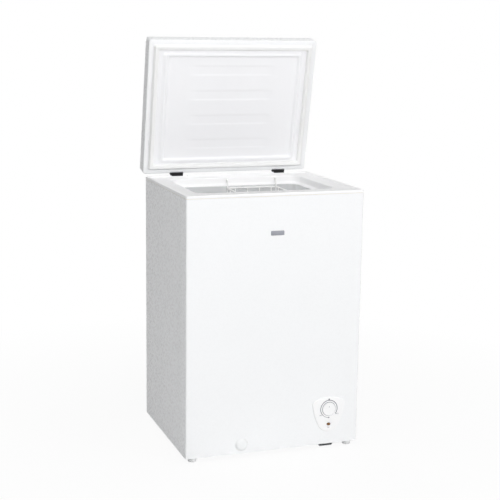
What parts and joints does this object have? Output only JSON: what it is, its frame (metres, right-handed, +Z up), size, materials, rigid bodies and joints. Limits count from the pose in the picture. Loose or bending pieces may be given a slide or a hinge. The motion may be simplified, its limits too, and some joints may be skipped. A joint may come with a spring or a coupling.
{
  "type": "chest freezer",
  "caption": "Upright-proportioned chest freezer with a lifted hinged lid, insulated tub over a compressor room, hanging wire basket, front thermostat knob and drain.",
  "frame": {"origin": "on the floor, in the middle of the overall box at rest", "axes": "+X to the right seen from the front, +Y to the back, +Z up"},
  "size_m": [0.55, 0.5368, 1.2201],
  "materials": {
    "enamel": "gloss white paint on sheet steel",
    "collar_plastic": "white moulded polystyrene",
    "lid_liner_plastic": "white vacuum-formed polystyrene",
    "liner_aluminium": "embossed bright aluminium sheet",
    "galvanised": "zinc-coated sheet steel",
    "foam": "rigid polyurethane foam",
    "coil_aluminium": "flattened aluminium tube",
    "coil_steel": "coated steel tube",
    "copper": "drawn copper tube",
    "compressor_black": "black enamel on pressed steel",
    "rubber_black": "black rubber",
    "gasket_white": "white flexible vinyl",
    "hinge_black": "black powder coat",
    "zinc": "zinc plate",
    "control_white": "white moulded plastic",
    "amber_lens": "translucent amber lens",
    "drain_plastic": "white polyethylene",
    "dark_plastic": "dark moulded plastic",
    "wire_coating": "white coated steel wire"
  },
  "bodies": {
    "cabinet": {"base_pan": "galvanised", "cabinet_foam": "foam", "capillary_tube": "copper", "compartment_wall": "galvanised", "compressor": "compressor_black", "compressor_grommets": "rubber_black", "compressor_tray": "galvanised", "condenser_coil": "coil_steel", "control_bezel": "control_white", "cord_inlet": "dark_plastic", "discharge_pipe": "copper", "drain_outlet": "drain_plastic", "drain_tube": "drain_plastic", "evaporator_coil": "coil_aluminium", "feet": "dark_plastic", "filter_drier": "copper", "hinge_bracket_left": "zinc", "hinge_bracket_right": "zinc", "hinge_pins": "zinc", "hinge_screws": "zinc", "indicator_lamp": "amber_lens", "inner_liner": "liner_aluminium", "outer_cabinet": "enamel", "rear_cover": "galvanised", "rear_cover_screws": "zinc", "rear_panel": "galvanised", "start_relay": "dark_plastic", "suction_pipe": "copper", "thermostat": "dark_plastic", "top_collar": "collar_plastic"},
    "lid": {"lid_foam": "foam", "lid_gasket": "gasket_white", "lid_hinge_arm_left": "hinge_black", "lid_hinge_arm_right": "hinge_black", "lid_hinge_screws": "zinc", "lid_inner_panel": "lid_liner_plastic", "lid_outer_shell": "enamel"},
    "knob": {"thermostat_knob": "control_white", "thermostat_shaft": "zinc"},
    "basket": {"wire_basket": "wire_coating"},
    "drain_cap": {"drain_cap": "drain_plastic"},
    "drain_stopper": {"drain_stopper": "drain_plastic"}
  },
  "joints": [
    {"name": "lid_hinge", "type": "hinge", "parent": "cabinet", "child": "lid", "pos_m": [0, 0.205, 0.774], "axis": [-1, 0, 0], "range_deg": [-78.5, 0]},
    {"name": "knob_turn", "type": "hinge", "parent": "cabinet", "child": "knob", "pos_m": [0.177, -0.251, 0.1245], "axis": [0, -1, 0], "range_deg": [-125, 180]},
    {"name": "basket_lift", "type": "slide", "parent": "cabinet", "child": "basket", "axis": [0, 0, 1], "range_m": [0, 0.3]},
    {"name": "drain_cap_pull", "type": "slide", "parent": "cabinet", "child": "drain_cap", "axis": [0, -1, 0], "range_m": [0, 0.03]},
    {"name": "drain_stopper_pull", "type": "slide", "parent": "cabinet", "child": "drain_stopper", "axis": [0, 0, 1], "range_m": [0, 0.03]}
  ]
}
